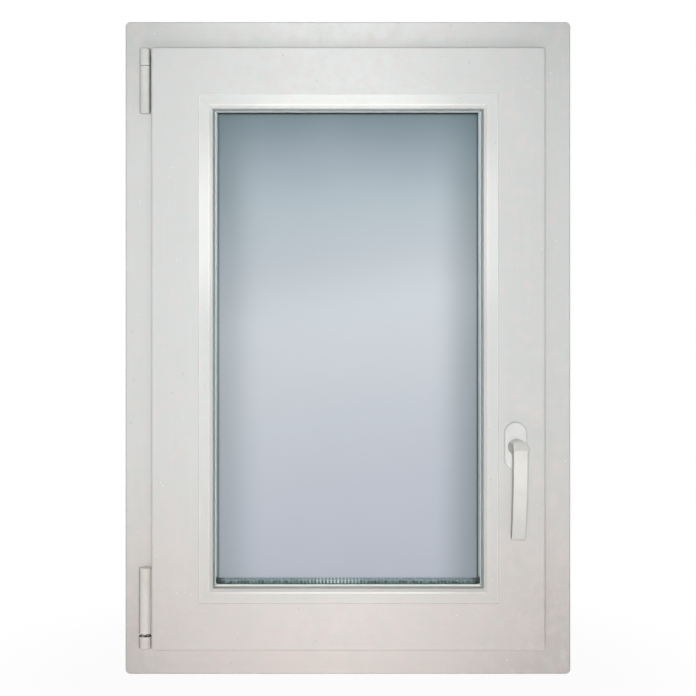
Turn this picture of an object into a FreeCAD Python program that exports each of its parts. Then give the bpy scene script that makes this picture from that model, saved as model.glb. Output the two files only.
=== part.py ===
import FreeCAD, Part
import math
import os

# Tilt and turn window of white PVC profiles, hinged at the left as seen from the room.
# Origin: centre of the frame's flat bottom face. +X to the right seen from the room, +Y outdoors, +Z up.
# Sizes are in millimetres and degrees. An inset is a distance from the frame's outer edge towards the glass.

Vector = FreeCAD.Vector

# Outer frame
FRAME_WIDTH = 580.0
FRAME_HEIGHT = 850.0
FRAME_DEPTH = 70.0
FRAME_FACE = 45.0
FRAME_UPSTAND = 22.0
FRAME_UPSTAND_THICKNESS = 18.0
FRAME_CORNER_RADIUS = 7.0
FRAME_EDGE_RADIUS = 2.0
DRAIN_CHANNEL_WIDTH = 16.0
DRAIN_CHANNEL_DEPTH = 4.0
DRAIN_CHANNEL_BACK = 6.0

# Fixing screws through the jambs
FIXING_HOLE_RADIUS = 3.1
FIXING_INSET = 190.0

# Sash and its gaps to the frame
SASH_OVERLAP = 9.0
SASH_FACE = 61.0
SASH_FLANGE_THICKNESS = 18.0
SASH_CORNER_RADIUS = 4.5
SASH_EDGE_RADIUS = 3.0
SASH_ARRIS = 0.8
FACE_GAP = 5.0
REBATE_GAP = 5.0
HARDWARE_GAP = 12.0
GLAZING_LEG_HEIGHT = 18.0
GLAZING_LEG_THICKNESS = 18.0
GLAZING_LEG_SLOPE = 8.0

# Seals between sash and frame
SEAL_WIDTH = 5.0
SEAL_TIP_WIDTH = 2.5
SEAL_GAP = 0.8
OVERLAP_SEAL_SETBACK = 2.0
REBATE_SEAL_SETBACK = 3.0

# Glass unit, beads and glazing seals
PANE_THICKNESS = 4.0
CAVITY = 16.0
SPACER_HEIGHT = 7.5
SPACER_COVER = 14.8
GLASS_SIDE_GAP = 7.5
GLASS_BOTTOM_GAP = 9.5
GLASS_TOP_GAP = 3.0
SETTING_BLOCK_LENGTH = 80.0
SETTING_BLOCK_INSET = 60.0
BEAD_HEIGHT = 18.0
BEAD_FACE = 13.5
BEAD_STEP = 1.0
BEAD_FALL = 0.8
BEAD_SLOPE_DEPTH = 4.2
BEAD_NOSE_RADIUS = 2.0
BEAD_ARRIS = 0.4
BEAD_JOINT = 0.1
BEAD_TONGUE_WIDTH = 4.0
BEAD_TONGUE_DEPTH = 4.5
BEAD_TONGUE_FIT = 0.2
BEAD_SEAL_THICKNESS = 4.0
OUTER_SEAL_THICKNESS = 3.0
GLAZING_SEAL_DEPTH = 7.5
GLAZING_SEAL_LIP = 2.8

# Hinges
SLEEVE_RADIUS = 8.1
SLEEVE_BACK_GAP = 1.9
SLEEVE_SIDE_GAP = 0.9
SLEEVE_LENGTH = 85.3
SLEEVE_WING_THICKNESS = 9.0
SLEEVE_GAP = 3.4
CORNER_BEARING_HEIGHT = 16.5
BEARING_FLOOR = 1.5
BEARING_FOOT_WIDTH = 10.0
CUP_RADIUS = 5.6
CUP_FLOOR = 1.0
CUP_HEIGHT = 9.5
BALL_RADIUS = 3.6
BALL_FIT = 0.2
PIN_FIT = 0.1
SLEEVE_PIN_RADIUS = 2.6
SLEEVE_PIN_REACH = 24.0
BAND_RADIUS = 7.1
BAND_HEIGHT = 22.7
BAND_GAP = 0.8
STAY_BEARING_HEIGHT = 61.5
STAY_PIN_RADIUS = 3.0
STAY_PIN_REACH = 15.0
BARREL_EDGE_RADIUS = 2.2

# Stay arm in the gap over the sash
STAY_LENGTH = 265.0
STAY_BAR_WIDTH = 12.0
STAY_BAR_THICKNESS = 3.0
STAY_BAR_LIFT = 3.0
STAY_BAR_START = 19.5
STAY_LEAF_THICKNESS = 2.6
STAY_LEAF_HEIGHT = 8.0
STAY_SLIDER_RADIUS = 2.5
STAY_SLIDER_REACH = 9.0
STAY_SLIDER_TRAVEL = 16.0
STAY_SLOT_PLAY = 4.0
SEAL_NOTCH_PLAY = 2.5

# Lock gear on the sash's edges
GEAR_WIDTH = 16.0
GEAR_GROOVE_DEPTH = 3.0
GEAR_OFFSET = 13.0
GEAR_FIT = 0.1
GEAR_END_INSET = 40.0
CAM_RADIUS = 3.5
CAM_HEIGHT = 8.0
CAM_HEAD_RADIUS = 5.5
CAM_HEAD_THICKNESS = 2.0
CAM_INSET = 190.0
STRIKER_LENGTH = 50.0
STRIKER_WIDTH = 18.0
STRIKER_THICKNESS = 2.5
STRIKER_LIP_HEIGHT = 7.0
STRIKER_LIP_THICKNESS = 3.0
STRIKER_SHIFT = 45.0

# Handle
HANDLE_BACKSET = 18.0
HANDLE_HEIGHT = 300.0
ROSETTE_WIDTH = 29.0
ROSETTE_LENGTH = 62.0
ROSETTE_THICKNESS = 9.0
ROSETTE_EDGE_RADIUS = 3.0
COLLAR_RADIUS = 13.0
COLLAR_HEIGHT = 2.5
HANDLE_FIT = 0.3
NECK_RADIUS = 10.0
NECK_ROUNDNESS = 0.97
GRIP_STANDOFF = 48.5
GRIP_BEND_RADIUS = 15.0
GRIP_LENGTH = 116.0
GRIP_SWEEP = 18.0
GRIP_WIDTH = 20.0
GRIP_THICKNESS = 13.0
GRIP_ROUNDNESS = 0.5
GRIP_TIP_WIDTH = 19.5
GRIP_TIP_THICKNESS = 10.5
GRIP_TIP_ROUND = 1.5
BEND_STEPS = 9
GRIP_STEPS = 8
TIP_STEPS = 3
SPINDLE_SIZE = 7.0
SPINDLE_DEPTH = 30.0
SPINDLE_FIT = 0.3

# Drain caps on the outside of the sill
DRAIN_CAP_LENGTH = 42.0
DRAIN_CAP_HEIGHT = 13.0
DRAIN_CAP_THICKNESS = 4.0
DRAIN_CAP_INSET = 130.0
DRAIN_CAP_RISE = 18.0
DRAIN_CAP_EDGE_RADIUS = 1.2

# Depths, from the room at the low end to outdoors
frame_room = -FRAME_DEPTH / 2
frame_outdoor = FRAME_DEPTH / 2
upstand_room = frame_outdoor - FRAME_UPSTAND_THICKNESS
flange_back = frame_room - FACE_GAP
sash_room = flange_back - SASH_FLANGE_THICKNESS
sash_outdoor = upstand_room - REBATE_GAP
leg_room = sash_outdoor - GLAZING_LEG_THICKNESS
glass_outdoor = leg_room - OUTER_SEAL_THICKNESS
glass_room = glass_outdoor - 2 * PANE_THICKNESS - CAVITY
bead_back = glass_room - BEAD_SEAL_THICKNESS
bead_front = sash_room + BEAD_STEP
tongue_depth = (bead_front + bead_back) / 2
gear_depth = flange_back + GEAR_OFFSET
hinge_depth = frame_room - SLEEVE_BACK_GAP - SLEEVE_RADIUS

# Insets from the frame's outer edge
upstand_inset = FRAME_FACE + FRAME_UPSTAND
sash_inset = FRAME_FACE - SASH_OVERLAP
body_inset = FRAME_FACE + HARDWARE_GAP
glazing_inset = sash_inset + SASH_FACE
leg_inset = glazing_inset + GLAZING_LEG_HEIGHT
bead_inset = glazing_inset + BEAD_HEIGHT

# Hinge line, tilt line and heights on it
hinge_x = -FRAME_WIDTH / 2 + sash_inset - SLEEVE_SIDE_GAP - SLEEVE_RADIUS
bearing_base = sash_inset
cup_base = bearing_base + BEARING_FLOOR + PIN_FIT
tilt_height = cup_base + CUP_FLOOR + BALL_FIT + BALL_RADIUS
bearing_top = bearing_base + CORNER_BEARING_HEIGHT
sleeve_base = bearing_top + SLEEVE_GAP
band_top = FRAME_HEIGHT - sash_inset
band_base = band_top - BAND_HEIGHT
stay_bearing_top = band_base - BAND_GAP
sash_top_edge = FRAME_HEIGHT - body_inset
stay_bar_base = sash_top_edge + STAY_BAR_LIFT

# Handle axis
handle_x = FRAME_WIDTH / 2 - body_inset - HANDLE_BACKSET
collar_room = sash_room - ROSETTE_THICKNESS - COLLAR_HEIGHT

SIDES = ("sill", "head", "hinge", "lock")
SAME_POINT = 1e-6


def at(side, inset, depth, along):
    """Point on one side of the window; along runs from the side's middle."""
    middle = FRAME_HEIGHT / 2
    if side == "sill":
        return Vector(along, depth, inset)
    if side == "head":
        return Vector(along, depth, FRAME_HEIGHT - inset)
    if side == "hinge":
        return Vector(-FRAME_WIDTH / 2 + inset, depth, middle + along)
    return Vector(FRAME_WIDTH / 2 - inset, depth, middle + along)


def run_length(side):
    return FRAME_WIDTH if side in ("sill", "head") else FRAME_HEIGHT


def rounded_wire(corners):
    """Closed wire through (point, radius) corners, with an arc where the radius isn't zero."""
    edges = []
    joins = []
    count = len(corners)
    for index, (point, radius) in enumerate(corners):
        before = (corners[index - 1][0] - point).normalize()
        after = (corners[(index + 1) % count][0] - point).normalize()
        if radius == 0:
            joins.append((point, point, None))
            continue
        half = before.getAngle(after) / 2
        reach = radius / math.tan(half)
        inward = (before + after).normalize()
        middle = point + inward * (radius / math.sin(half) - radius)
        joins.append((point + before * reach, point + after * reach, middle))
    for index, (start, end, middle) in enumerate(joins):
        if middle is not None:
            edges.append(Part.Arc(start, middle, end).toShape())
        following = joins[(index + 1) % count][0]
        if end.distanceToPoint(following) > SAME_POINT:
            edges.append(Part.LineSegment(end, following).toShape())
    return Part.Wire(edges)


def box(low, high):
    """Box between two corners."""
    size = high - low
    return Part.makeBox(size.x, size.y, size.z, low)


def box_on(side, insets, depths, alongs):
    """Box on one side, between two insets, two depths and two places along it."""
    first = at(side, insets[0], depths[0], alongs[0])
    second = at(side, insets[1], depths[1], alongs[1])
    low = Vector(min(first.x, second.x), min(first.y, second.y), min(first.z, second.z))
    high = Vector(max(first.x, second.x), max(first.y, second.y), max(first.z, second.z))
    return box(low, high)


def upright(radius, base, top):
    """Cylinder about the hinge line."""
    return Part.makeCylinder(radius, top - base, Vector(hinge_x, hinge_depth, base))


def mitre(side):
    """Prism that cuts a profile of this side at 45 degrees at both ends."""
    reach = FRAME_WIDTH / 2
    end = run_length(side) / 2
    deep = FRAME_DEPTH * 2
    corners = [
        at(side, 0, -deep, -end),
        at(side, 0, -deep, end),
        at(side, reach, -deep, end - reach),
        at(side, reach, -deep, reach - end),
    ]
    face = Part.Face(Part.makePolygon(corners + corners[:1]))
    return face.extrude(Vector(0, 2 * deep, 0))


def rail(section, side):
    """Mitred length of a profile; the section holds (inset, depth, corner radius)."""
    end = run_length(side) / 2
    corners = [(at(side, inset, depth, -end), radius) for inset, depth, radius in section]
    face = Part.Face(rounded_wire(corners))
    length = at(side, 0, 0, end) - at(side, 0, 0, -end)
    return face.extrude(length).common(mitre(side))


def ring(section):
    """Closed ring of one profile, welded at the mitres."""
    first, *rest = [rail(section, side) for side in SIDES]
    return first.fuse(rest).removeSplitter()


def rounded_block(inset, radius):
    """Block as deep as the window, with rounded corners at an inset, that trims a frame's corners."""
    deep = FRAME_DEPTH * 2
    low_x = -FRAME_WIDTH / 2 + inset
    low_z = inset
    high_z = FRAME_HEIGHT - inset
    corners = [
        (Vector(low_x, -deep, low_z), radius),
        (Vector(-low_x, -deep, low_z), radius),
        (Vector(-low_x, -deep, high_z), radius),
        (Vector(low_x, -deep, high_z), radius),
    ]
    return Part.Face(rounded_wire(corners)).extrude(Vector(0, 2 * deep, 0))


def frame_profiles():
    """Outer frame: an L profile whose upstand stands outdoors, with a drain channel in the rebate."""
    channel_back = upstand_room - DRAIN_CHANNEL_BACK
    channel_front = channel_back - DRAIN_CHANNEL_WIDTH
    channel_floor = FRAME_FACE - DRAIN_CHANNEL_DEPTH
    section = [
        (0, frame_room, FRAME_EDGE_RADIUS),
        (FRAME_FACE, frame_room, FRAME_EDGE_RADIUS),
        (FRAME_FACE, channel_front, 0),
        (channel_floor, channel_front, 0),
        (channel_floor, channel_back, 0),
        (FRAME_FACE, channel_back, 0),
        (FRAME_FACE, upstand_room, 0),
        (upstand_inset, upstand_room, FRAME_EDGE_RADIUS),
        (upstand_inset, frame_outdoor, FRAME_EDGE_RADIUS),
        (0, frame_outdoor, FRAME_EDGE_RADIUS),
    ]
    trim = rounded_block(0, FRAME_CORNER_RADIUS)
    profiles = {side: rail(section, side).common(trim) for side in SIDES}
    hole_depth = (channel_front + channel_back) / 2
    for side in ("hinge", "lock"):
        for along in (FIXING_INSET - FRAME_HEIGHT / 2, FRAME_HEIGHT / 2 - FIXING_INSET):
            start = at(side, 0, hole_depth, along)
            across = at(side, FRAME_FACE, hole_depth, along) - start
            hole = Part.makeCylinder(FIXING_HOLE_RADIUS, FRAME_FACE, start, across)
            profiles[side] = profiles[side].cut(hole)
    seal_top = upstand_inset - REBATE_SEAL_SETBACK
    seal_middle = seal_top - SEAL_WIDTH / 2
    seal_tip = sash_outdoor + SEAL_GAP
    seal = [
        (seal_top - SEAL_WIDTH, upstand_room, 0),
        (seal_middle - SEAL_TIP_WIDTH / 2, seal_tip, 0),
        (seal_middle + SEAL_TIP_WIDTH / 2, seal_tip, 0),
        (seal_top, upstand_room, 0),
    ]
    return {
        "frame_sill": profiles["sill"],
        "frame_head": profiles["head"],
        "frame_hinge_jamb": profiles["hinge"],
        "frame_lock_jamb": profiles["lock"],
        "frame_seal": ring(seal),
    }


def sash_profiles():
    """Sash: a Z profile with the overlap flange to the room and the glazing leg outdoors."""
    groove_floor = body_inset + GEAR_GROOVE_DEPTH
    groove_front = gear_depth - GEAR_WIDTH / 2
    groove_back = gear_depth + GEAR_WIDTH / 2
    slit_half = BEAD_TONGUE_WIDTH / 2 + BEAD_TONGUE_FIT
    slit_floor = glazing_inset - BEAD_TONGUE_DEPTH - BEAD_TONGUE_FIT
    section = [
        (sash_inset, sash_room, SASH_EDGE_RADIUS),
        (glazing_inset, sash_room, BEAD_ARRIS),
        (glazing_inset, tongue_depth - slit_half, 0),
        (slit_floor, tongue_depth - slit_half, 0),
        (slit_floor, tongue_depth + slit_half, 0),
        (glazing_inset, tongue_depth + slit_half, 0),
        (glazing_inset, leg_room, 0),
        (leg_inset, leg_room, SASH_ARRIS),
        (leg_inset, sash_outdoor - GLAZING_LEG_SLOPE, SASH_ARRIS),
        (leg_inset - GLAZING_LEG_SLOPE, sash_outdoor, SASH_EDGE_RADIUS),
        (body_inset, sash_outdoor, SASH_EDGE_RADIUS),
        (body_inset, groove_back, 0),
        (groove_floor, groove_back, 0),
        (groove_floor, groove_front, 0),
        (body_inset, groove_front, 0),
        (body_inset, flange_back, 0),
        (sash_inset, flange_back, SASH_ARRIS),
    ]
    trim = rounded_block(sash_inset, SASH_CORNER_RADIUS)
    profiles = {side: rail(section, side).common(trim) for side in SIDES}
    profiles["head"] = profiles["head"].cut(stay_slot())
    profiles["lock"] = profiles["lock"].cut(spindle_bore())
    seal_low = sash_inset + OVERLAP_SEAL_SETBACK
    seal_middle = seal_low + SEAL_WIDTH / 2
    seal_tip = frame_room - SEAL_GAP
    seal = [
        (seal_low, flange_back, 0),
        (seal_low + SEAL_WIDTH, flange_back, 0),
        (seal_middle + SEAL_TIP_WIDTH / 2, seal_tip, 0),
        (seal_middle - SEAL_TIP_WIDTH / 2, seal_tip, 0),
    ]
    notch_base = stay_bar_base - SEAL_NOTCH_PLAY
    notch_top = notch_base + STAY_LEAF_HEIGHT + 2 * SEAL_NOTCH_PLAY
    notch_low = Vector(hinge_x, flange_back, notch_base)
    notch_high = Vector(-FRAME_WIDTH / 2 + body_inset, frame_room, notch_top)
    return {
        "sash_bottom_rail": profiles["sill"],
        "sash_top_rail": profiles["head"],
        "sash_hinge_stile": profiles["hinge"],
        "sash_lock_stile": profiles["lock"],
        "sash_seal": ring(seal).cut(box(notch_low, notch_high)),
    }


def beads():
    """Glazing beads: clipped in from the room, with a flat face, a round nose and a slope to the glass."""
    foot = glazing_inset + BEAD_JOINT
    nose = bead_front + BEAD_FALL
    tongue_tip = glazing_inset - BEAD_TONGUE_DEPTH
    tongue_half = BEAD_TONGUE_WIDTH / 2
    section = [
        (foot, bead_front, BEAD_ARRIS),
        (glazing_inset + BEAD_FACE, nose, BEAD_NOSE_RADIUS),
        (bead_inset, nose + BEAD_SLOPE_DEPTH, SASH_ARRIS),
        (bead_inset, bead_back, 0),
        (foot, bead_back, 0),
        (foot, tongue_depth + tongue_half, 0),
        (tongue_tip, tongue_depth + tongue_half, 0),
        (tongue_tip, tongue_depth - tongue_half, 0),
        (foot, tongue_depth - tongue_half, 0),
    ]
    return {
        "bead_bottom": rail(section, "sill"),
        "bead_top": rail(section, "head"),
        "bead_hinge_side": rail(section, "hinge"),
        "bead_lock_side": rail(section, "lock"),
    }


def glazing_seals():
    """Soft strips that hold the glass: one under the beads, one on the sash's outer leg."""
    bead_lip = bead_inset + GLAZING_SEAL_LIP
    leg_lip = leg_inset + GLAZING_SEAL_LIP
    inner = [
        (bead_inset - GLAZING_SEAL_DEPTH, bead_back, 0),
        (bead_inset, bead_back, 0),
        (bead_lip, (bead_back + glass_room) / 2, 0),
        (bead_lip, glass_room, 0),
        (bead_inset - GLAZING_SEAL_DEPTH, glass_room, 0),
    ]
    outer = [
        (leg_inset - GLAZING_SEAL_DEPTH, leg_room, 0),
        (leg_inset, leg_room, 0),
        (leg_lip, (leg_room + glass_outdoor) / 2, 0),
        (leg_lip, glass_outdoor, 0),
        (leg_inset - GLAZING_SEAL_DEPTH, glass_outdoor, 0),
    ]
    return {"bead_seal": ring(inner), "glazing_seal": ring(outer)}


def glass_block(edge, room, outdoor):
    """Block with the glass unit's outline, drawn in by an edge distance."""
    side = glazing_inset + GLASS_SIDE_GAP + edge
    base = glazing_inset + GLASS_BOTTOM_GAP + edge
    top = FRAME_HEIGHT - glazing_inset - GLASS_TOP_GAP - edge
    low = Vector(-FRAME_WIDTH / 2 + side, room, base)
    high = Vector(FRAME_WIDTH / 2 - side, outdoor, top)
    return box(low, high)


def glass_unit():
    """Sealed double glazing: two panes on a bent spacer bar, standing on two setting blocks."""
    cavity_room = glass_room + PANE_THICKNESS
    cavity_outdoor = cavity_room + CAVITY
    spacer = glass_block(SPACER_COVER - SPACER_HEIGHT, cavity_room, cavity_outdoor)
    spacer = spacer.cut(glass_block(SPACER_COVER, cavity_room, cavity_outdoor))
    nodes = {
        "inner_pane": glass_block(0, glass_room, cavity_room),
        "outer_pane": glass_block(0, cavity_outdoor, glass_outdoor),
        "spacer_bar": spacer,
    }
    insets = (glazing_inset, glazing_inset + GLASS_BOTTOM_GAP)
    far = FRAME_WIDTH / 2 - glazing_inset - SETTING_BLOCK_INSET
    near = far - SETTING_BLOCK_LENGTH
    for name, sign in (("left", -1), ("right", 1)):
        block = box_on("sill", insets, (glass_room, glass_outdoor), (sign * near, sign * far))
        nodes["setting_block_" + name] = block
    return nodes


def corner_hinge():
    """Lower hinge: a bearing on the frame, a cup that turns in it, and a ball pin in the sash's sleeve."""
    bore = upright(CUP_RADIUS + PIN_FIT, bearing_base + BEARING_FLOOR, bearing_top)
    barrel = rounded_barrel(SLEEVE_RADIUS, bearing_base, bearing_top, bearing_base)
    foot = bearing_foot(bearing_base + BARREL_EDGE_RADIUS, bearing_top)
    bearing = barrel.fuse(foot).cut(bore)
    cup = upright(CUP_RADIUS, cup_base, cup_base + CUP_HEIGHT)
    cup = cup.cut(upright(BALL_RADIUS + BALL_FIT, cup_base + CUP_FLOOR, cup_base + CUP_HEIGHT))
    pin_top = sleeve_base + SLEEVE_PIN_REACH
    ball = Part.makeSphere(BALL_RADIUS, Vector(hinge_x, hinge_depth, tilt_height))
    pin = upright(SLEEVE_PIN_RADIUS, tilt_height, pin_top).fuse(ball)
    sleeve_top = sleeve_base + SLEEVE_LENGTH
    sleeve = rounded_barrel(SLEEVE_RADIUS, sleeve_base, sleeve_top, sleeve_top)
    wing_low = Vector(hinge_x, hinge_depth - SLEEVE_WING_THICKNESS / 2, sleeve_base)
    wing_high = Vector(
        -FRAME_WIDTH / 2 + sash_inset,
        hinge_depth + SLEEVE_WING_THICKNESS / 2,
        sleeve_top - BARREL_EDGE_RADIUS,
    )
    sleeve = sleeve.fuse(box(wing_low, wing_high)).removeSplitter()
    sleeve = sleeve.cut(upright(SLEEVE_PIN_RADIUS + PIN_FIT, sleeve_base, pin_top))
    return {
        "corner_bearing": bearing,
        "pivot_cup": cup,
        "sleeve_pin": pin,
        "corner_sleeve": sleeve,
    }


def bearing_foot(base, top):
    """Foot between a bearing's barrel and the frame's face."""
    low = Vector(hinge_x - BEARING_FOOT_WIDTH / 2, hinge_depth, base)
    high = Vector(hinge_x + BEARING_FOOT_WIDTH / 2, frame_room, top)
    return box(low, high)


def rounded_barrel(radius, base, top, end):
    """Barrel about the hinge line with the edge at one end, its base or its top, rounded."""
    barrel = upright(radius, base, top)
    edges = [edge for edge in barrel.Edges if edge.BoundBox.Center.z == end]
    return barrel.makeFillet(BARREL_EDGE_RADIUS, edges)


def stay_slot():
    """Slot in the sash's top edge that the stay's sliding pin runs in."""
    half = STAY_SLIDER_RADIUS + STAY_SLOT_PLAY
    pin_x = hinge_x + STAY_LENGTH
    low = Vector(
        pin_x - STAY_SLIDER_TRAVEL - half,
        gear_depth - half,
        stay_bar_base - STAY_SLIDER_REACH - STAY_SLOT_PLAY,
    )
    return box(low, Vector(pin_x + half, gear_depth + half, sash_top_edge))


def stay_hinge():
    """Upper hinge: a bearing and pin on the frame, and the stay's band whose arm lies over the sash."""
    stay_bearing_base = stay_bearing_top - STAY_BEARING_HEIGHT
    pin_top = band_base + STAY_PIN_REACH
    bore = upright(STAY_PIN_RADIUS + PIN_FIT, stay_bearing_base + BEARING_FLOOR, pin_top + PIN_FIT)
    barrel = rounded_barrel(BAND_RADIUS, stay_bearing_base, stay_bearing_top, stay_bearing_base)
    foot = bearing_foot(stay_bearing_base + BARREL_EDGE_RADIUS, stay_bearing_top)
    bearing = barrel.fuse(foot).cut(bore)
    band = rounded_barrel(BAND_RADIUS, band_base, band_top, band_top).cut(bore)

    leaf_middle = (flange_back + frame_room - PIN_FIT) / 2
    leaf_front = leaf_middle - STAY_LEAF_THICKNESS / 2
    leaf_back = leaf_middle + STAY_LEAF_THICKNESS / 2
    leaf_end = hinge_x + STAY_BAR_START + STAY_BAR_WIDTH
    leaf = box(
        Vector(hinge_x + STAY_PIN_RADIUS + 2 * PIN_FIT, leaf_front, stay_bar_base),
        Vector(leaf_end, leaf_back, stay_bar_base + STAY_LEAF_HEIGHT),
    )
    bar_top = stay_bar_base + STAY_BAR_THICKNESS
    bar_back = gear_depth + STAY_BAR_WIDTH / 2
    neck = box(
        Vector(hinge_x + STAY_BAR_START, leaf_front, stay_bar_base),
        Vector(leaf_end, bar_back, bar_top),
    )
    pin_x = hinge_x + STAY_LENGTH
    bar = box(
        Vector(hinge_x + STAY_BAR_START, gear_depth - STAY_BAR_WIDTH / 2, stay_bar_base),
        Vector(pin_x, bar_back, bar_top),
    )
    eye_centre = Vector(pin_x, gear_depth, stay_bar_base)
    eye = Part.makeCylinder(STAY_BAR_WIDTH / 2, STAY_BAR_THICKNESS, eye_centre)
    slider_foot = eye_centre - Vector(0, 0, STAY_SLIDER_REACH)
    slider = Part.makeCylinder(STAY_SLIDER_RADIUS, STAY_SLIDER_REACH, slider_foot)
    arm = leaf.fuse([neck, bar, eye, slider]).removeSplitter()
    return {
        "stay_bearing": bearing,
        "stay_pin": upright(STAY_PIN_RADIUS, stay_bearing_base + BEARING_FLOOR + PIN_FIT, pin_top),
        "stay_band": band.cut(arm),
        "stay_arm": arm.cut(bore),
    }


def lock_gear():
    """Rails let into the sash's edges with mushroom cams, and strikers on the frame beside the cams."""
    nodes = {}
    rail_face = body_inset + GEAR_FIT
    rail_floor = body_inset + GEAR_GROOVE_DEPTH - GEAR_FIT
    half_width = GEAR_WIDTH / 2 - GEAR_FIT
    depths = (gear_depth - half_width, gear_depth + half_width)
    for side, name in (("lock", "gear_rail_lock"), ("head", "gear_rail_top"), ("sill", "gear_rail_bottom")):
        reach = run_length(side) / 2 - body_inset - GEAR_END_INSET
        nodes[name] = box_on(side, (rail_face, rail_floor), depths, (-reach, reach))
    nodes["gear_rail_top"] = nodes["gear_rail_top"].cut(stay_slot())
    places = (
        ("lock", "lower", CAM_INSET - FRAME_HEIGHT / 2, STRIKER_SHIFT),
        ("lock", "upper", FRAME_HEIGHT / 2 - CAM_INSET, -STRIKER_SHIFT),
        ("head", "top", FRAME_WIDTH / 2 - CAM_INSET, STRIKER_SHIFT),
        ("sill", "bottom", FRAME_WIDTH / 2 - CAM_INSET, STRIKER_SHIFT),
    )
    for side, name, along, shift in places:
        nodes["cam_" + name] = cam(side, along, rail_face)
        nodes["striker_" + name] = striker(side, along + shift)
    return nodes


def cam(side, along, seat):
    """Mushroom cam that stands out of a rail."""
    foot = at(side, seat, gear_depth, along)
    outward = at(side, seat - 1, gear_depth, along) - foot
    stem = Part.makeCylinder(CAM_RADIUS, CAM_HEIGHT, foot, outward)
    head_foot = foot + outward * (CAM_HEIGHT - CAM_HEAD_THICKNESS)
    head = Part.makeCylinder(CAM_HEAD_RADIUS, CAM_HEAD_THICKNESS, head_foot, outward)
    return stem.fuse(head)


def striker(side, along):
    """Plate screwed to the frame's rebate, with a lip on the room side."""
    alongs = (along - STRIKER_LENGTH / 2, along + STRIKER_LENGTH / 2)
    front = frame_room + FRAME_EDGE_RADIUS
    plate_insets = (FRAME_FACE, FRAME_FACE + STRIKER_THICKNESS)
    plate = box_on(side, plate_insets, (front, front + STRIKER_WIDTH), alongs)
    lip_insets = (FRAME_FACE, FRAME_FACE + STRIKER_LIP_HEIGHT)
    lip = box_on(side, lip_insets, (front, front + STRIKER_LIP_THICKNESS), alongs)
    return plate.fuse(lip).removeSplitter()


def stadium(centre, width, height, thickness):
    """Upright plate with round ends, from its centre's depth towards outdoors."""
    across = Vector(width / 2, 0, 0)
    up = Vector(0, 0, height / 2)
    radius = min(width, height) / 2
    outline = (centre - across - up, centre + across - up, centre + across + up, centre - across + up)
    corners = [(point, radius) for point in outline]
    return Part.Face(rounded_wire(corners)).extrude(Vector(0, thickness, 0))


def spindle():
    """Square bar on the handle's axis, from the collar into the sash."""
    half = SPINDLE_SIZE / 2
    low = Vector(handle_x - half, collar_room, HANDLE_HEIGHT - half)
    high = Vector(handle_x + half, sash_room + SPINDLE_DEPTH, HANDLE_HEIGHT + half)
    return box(low, high)


def spindle_bore():
    """Round hole that the square spindle turns in, through the rosette and into the sash."""
    radius = SPINDLE_SIZE / 2 * math.sqrt(2) + SPINDLE_FIT
    mouth = Vector(handle_x, collar_room, HANDLE_HEIGHT)
    length = sash_room + SPINDLE_DEPTH + SPINDLE_FIT - collar_room
    return Part.makeCylinder(radius, length, mouth, Vector(0, 1, 0))


def handle_section(centre, tangent, half_width, half_thickness, roundness):
    """Rounded oblong square to the handle's path; at a roundness of 1 its ends are half circles."""
    side = Vector(1, 0, 0)
    across = side * half_width
    up = tangent.cross(side).normalize() * half_thickness
    outline = (centre - across - up, centre + across - up, centre + across + up, centre - across + up)
    return rounded_wire([(point, half_thickness * roundness) for point in outline])


def shares(count):
    """Even steps after 0, up to 1."""
    return [(step + 1) / count for step in range(count)]


def grip():
    """Cast handle drawn along its path: a round neck, a bend, and a flat grip that bows to the sash."""
    start = collar_room - HANDLE_FIT
    grip_depth = sash_room - GRIP_STANDOFF
    bend_start = grip_depth + GRIP_BEND_RADIUS
    half_width = GRIP_WIDTH / 2
    half_thickness = GRIP_THICKNESS / 2
    neck = Vector(handle_x, start, HANDLE_HEIGHT)
    sections = [handle_section(neck, Vector(0, -1, 0), NECK_RADIUS, NECK_RADIUS, NECK_ROUNDNESS)]
    for share in [0.0] + shares(BEND_STEPS):
        turn = math.pi / 2 * share
        centre = Vector(
            handle_x,
            bend_start - GRIP_BEND_RADIUS * math.sin(turn),
            HANDLE_HEIGHT - GRIP_BEND_RADIUS * (1 - math.cos(turn)),
        )
        tangent = Vector(0, -math.cos(turn), -math.sin(turn))
        width = NECK_RADIUS + (half_width - NECK_RADIUS) * share
        thickness = NECK_RADIUS + (half_thickness - NECK_RADIUS) * share
        roundness = NECK_ROUNDNESS + (GRIP_ROUNDNESS - NECK_ROUNDNESS) * share
        sections.append(handle_section(centre, tangent, width, thickness, roundness))
    drop = GRIP_LENGTH - GRIP_BEND_RADIUS
    sweep = 2 * math.atan(GRIP_SWEEP / drop)
    bow = drop / math.sin(sweep)
    body = 1 - GRIP_TIP_ROUND / drop
    places = [(share * body, 0.0) for share in shares(GRIP_STEPS)]
    for share in shares(TIP_STEPS):
        turn = math.pi / 2 * share
        places.append((body + (1 - body) * math.sin(turn), GRIP_TIP_ROUND * (1 - math.cos(turn))))
    for share, rounding in places:
        turn = sweep * share
        centre = Vector(
            handle_x,
            grip_depth + bow * (1 - math.cos(turn)),
            HANDLE_HEIGHT - GRIP_BEND_RADIUS - bow * math.sin(turn),
        )
        tangent = Vector(0, math.sin(turn), -math.cos(turn))
        width = half_width + (GRIP_TIP_WIDTH / 2 - half_width) * share - rounding
        thickness = half_thickness + (GRIP_TIP_THICKNESS / 2 - half_thickness) * share - rounding
        sections.append(handle_section(centre, tangent, width, thickness, GRIP_ROUNDNESS))
    return Part.makeLoft(sections, True, True)


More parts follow.
